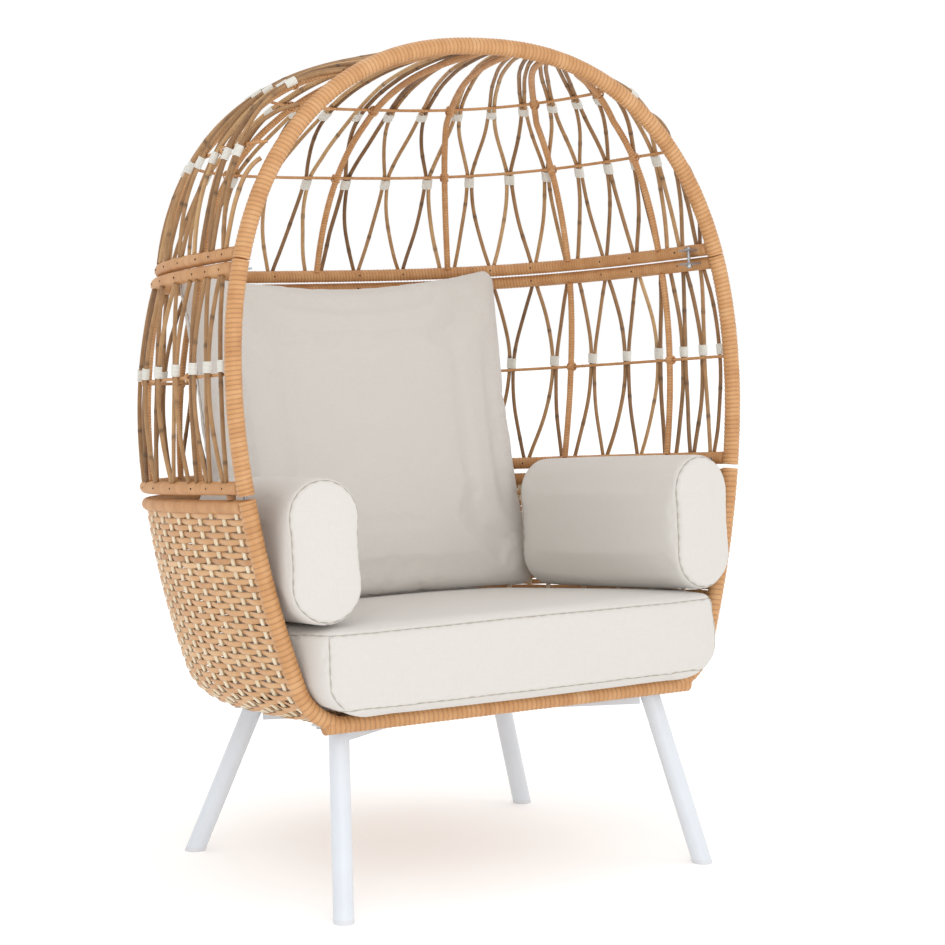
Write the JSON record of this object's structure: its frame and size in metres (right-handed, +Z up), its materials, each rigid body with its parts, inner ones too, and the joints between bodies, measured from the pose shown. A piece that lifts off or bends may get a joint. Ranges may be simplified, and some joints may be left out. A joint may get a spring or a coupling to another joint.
{
  "type": "egg chair",
  "caption": "Egg-shaped woven lounge chair with an open lattice hood and a basket seat on splayed tube legs, with loose seat, back and side cushions.",
  "frame": {"origin": "centre of the chair's overall outline on the floor, under the soles of the feet", "axes": "+Z up; the open front faces -Y; +X is to the right of someone who stands in front and looks at the opening"},
  "size_m": [1.0854, 0.8939, 1.5147],
  "materials": {
    "wrapped_cane": "satin",
    "basket_weave": "satin",
    "basket_stakes": "satin",
    "vines": "matte",
    "white_ties": "matte",
    "white_frame": "satin powder coat",
    "foot_caps": "matte",
    "steel_hardware": "satin",
    "cushion_fabric": "matte"
  },
  "bodies": {
    "chair": {"base_front_tube": "wrapped_cane", "base_rim_rail": "wrapped_cane", "basket_skin": "basket_weave", "basket_stakes": "basket_stakes", "middle_post_left": "wrapped_cane", "middle_post_right": "wrapped_cane", "middle_lower_rail": "wrapped_cane", "middle_upper_rail": "wrapped_cane", "middle_rib_1": "wrapped_cane", "middle_rib_2": "wrapped_cane", "middle_rib_3": "wrapped_cane", "middle_rib_4": "wrapped_cane", "middle_rib_5": "wrapped_cane", "middle_rib_6": "wrapped_cane", "middle_rib_7": "wrapped_cane", "middle_wire": "wrapped_cane", "middle_vines": "vines", "middle_ties": "white_ties", "dome_arch": "wrapped_cane", "dome_rail": "wrapped_cane", "dome_rib_1": "wrapped_cane", "dome_rib_2": "wrapped_cane", "dome_rib_3": "wrapped_cane", "dome_rib_4": "wrapped_cane", "dome_rib_5": "wrapped_cane", "dome_rib_6": "wrapped_cane", "dome_rib_7": "wrapped_cane", "dome_lower_wire": "wrapped_cane", "dome_upper_wire": "wrapped_cane", "dome_vines": "vines", "dome_lower_ties": "white_ties", "dome_upper_ties": "white_ties", "joint_plates": "steel_hardware", "joint_bolts": "steel_hardware", "joint_nuts": "steel_hardware", "rim_spacers": "wrapped_cane", "leg_front_left": "white_frame", "leg_front_right": "white_frame", "leg_back_left": "white_frame", "leg_back_right": "white_frame", "foot_front_left": "foot_caps", "foot_front_right": "foot_caps", "foot_back_left": "foot_caps", "foot_back_right": "foot_caps", "cross_bar_long": "white_frame", "cross_bar_split": "white_frame", "leg_plates": "white_frame", "leg_bolts": "steel_hardware"},
    "seat": {"seat_cushion": "cushion_fabric"},
    "back": {"back_cushion": "cushion_fabric"},
    "bolster_l": {"bolster_left": "cushion_fabric"},
    "bolster_r": {"bolster_right": "cushion_fabric"}
  },
  "joints": [
    {"name": "seat_cushion_slide", "type": "slide", "parent": "chair", "child": "seat", "axis": [0, -0.9959, 0.0906], "range_m": [0, 0.3]},
    {"name": "back_cushion_tip", "type": "hinge", "parent": "chair", "child": "back", "pos_m": [0, 0.09871, 0.47768], "axis": [1, 0, 0], "range_deg": [0, 9]},
    {"name": "bolster_left_lift", "type": "slide", "parent": "chair", "child": "bolster_l", "axis": [0, -0.94, 0.3412], "range_m": [0, 0.2]},
    {"name": "bolster_right_lift", "type": "slide", "parent": "chair", "child": "bolster_r", "axis": [0, -0.94, 0.3412], "range_m": [0, 0.2]}
  ]
}
